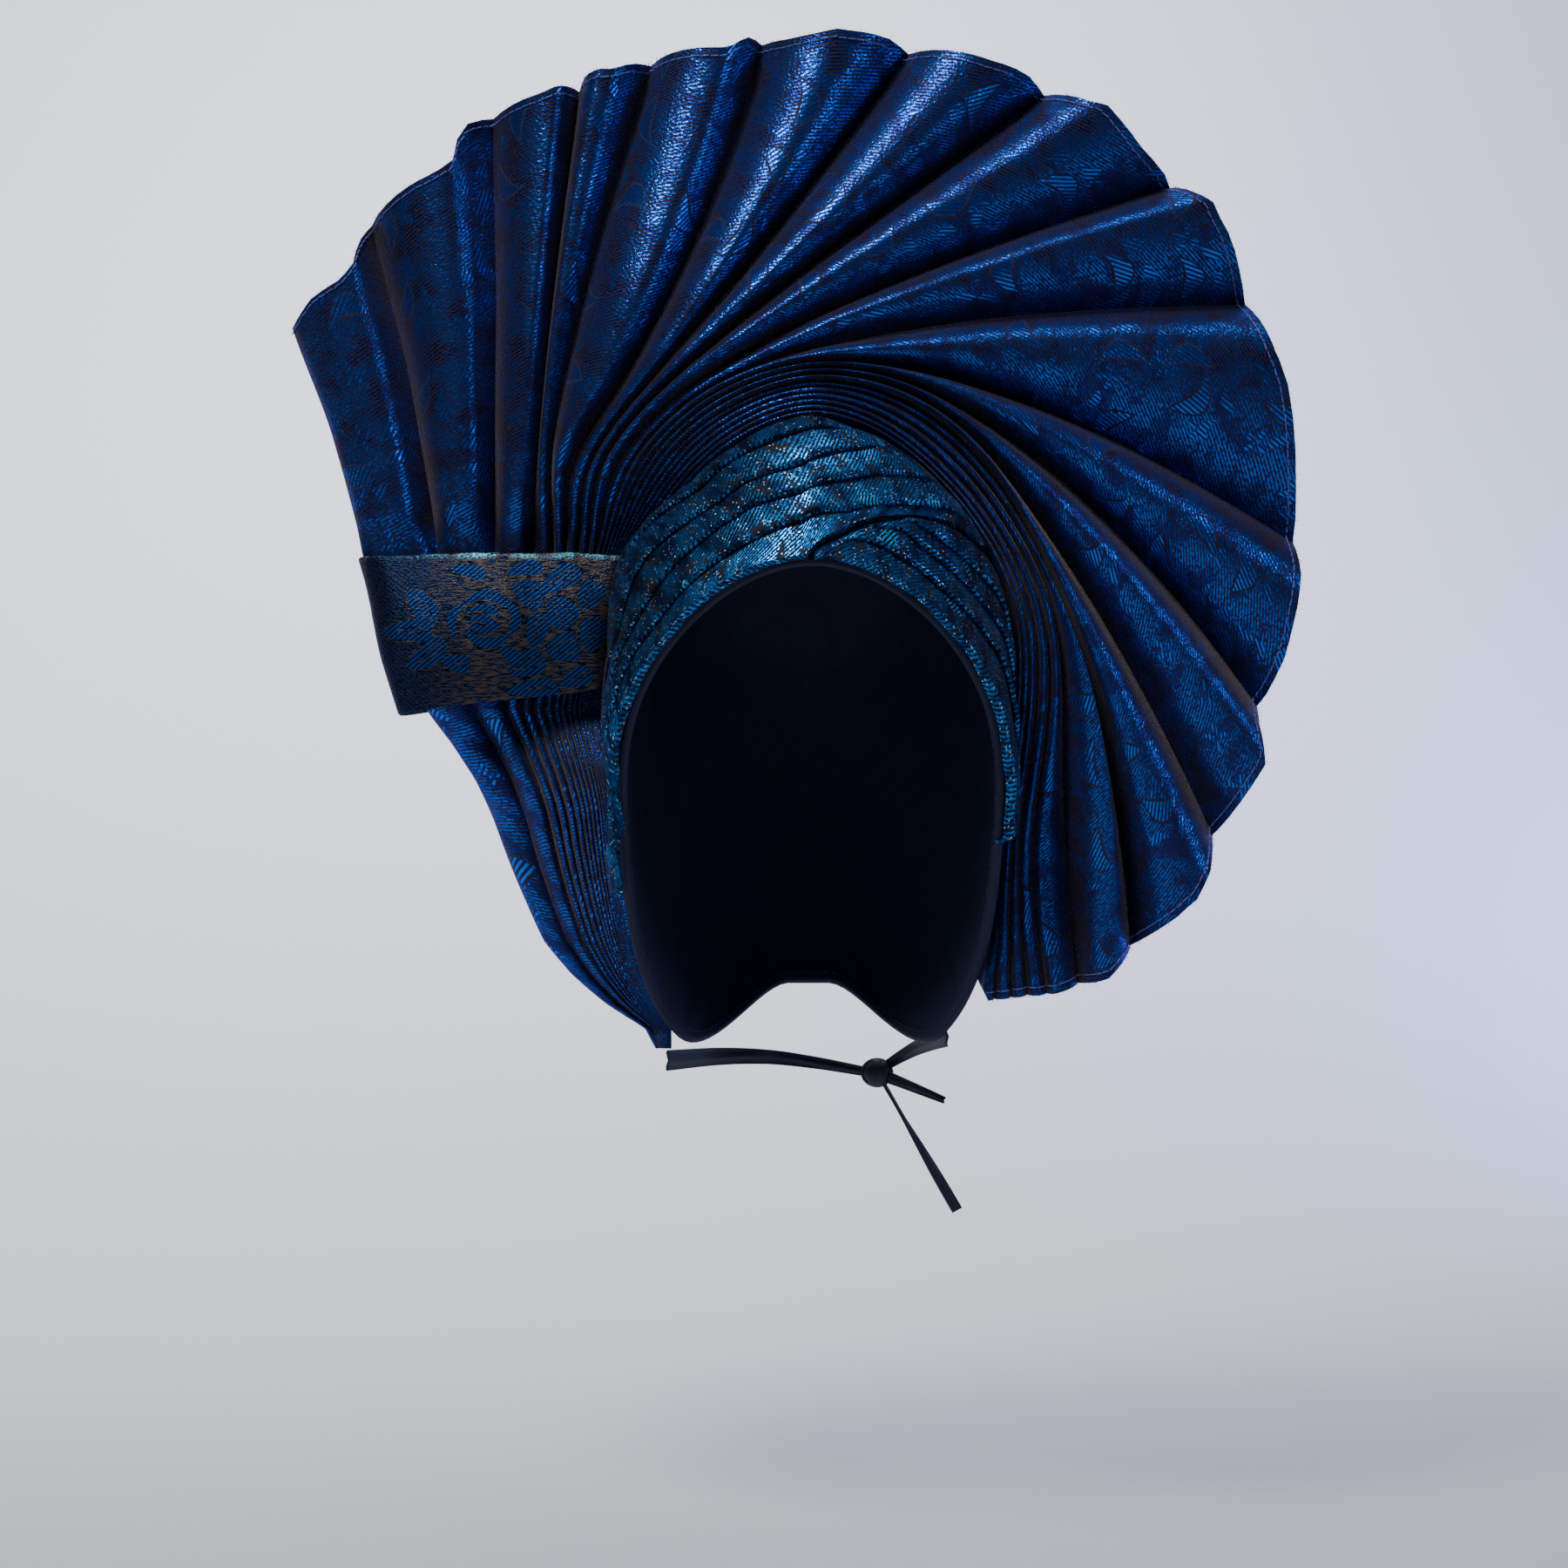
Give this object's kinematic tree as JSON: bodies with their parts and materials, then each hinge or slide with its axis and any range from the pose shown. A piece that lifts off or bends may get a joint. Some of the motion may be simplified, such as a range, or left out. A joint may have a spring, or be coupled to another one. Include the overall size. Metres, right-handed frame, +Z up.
{
  "type": "pre-tied gele head-tie",
  "caption": "Pre-tied pleated head-tie: a plain hood with knife-pleated forehead wraps, and one long pleated cloth that a side band gathers and that opens round the crown as a wide fan.",
  "frame": {"origin": "inside of the hood at the crown, on its middle plane, where the head-tie sits on the head", "axes": "+Z up, the face opening towards -Y, +X to the right as seen from the front"},
  "size_m": [0.3682, 0.1775, 0.4484],
  "materials": {
    "lining": "plain weave",
    "brocade": "metallic brocade",
    "band_brocade": "metallic brocade",
    "wrap_brocade": "glittered brocade",
    "tape": "plain weave"
  },
  "bodies": {
    "root": {"cap_shell": "lining", "pleated_fan": "brocade", "fan_band": "band_brocade", "forehead_wrap_over": "wrap_brocade", "forehead_wrap_under": "wrap_brocade", "nape_tie_left": "tape", "nape_tie_right": "tape", "tie_end_long": "tape", "tie_end_short": "tape", "nape_knot": "tape"}
  },
  "joints": []
}
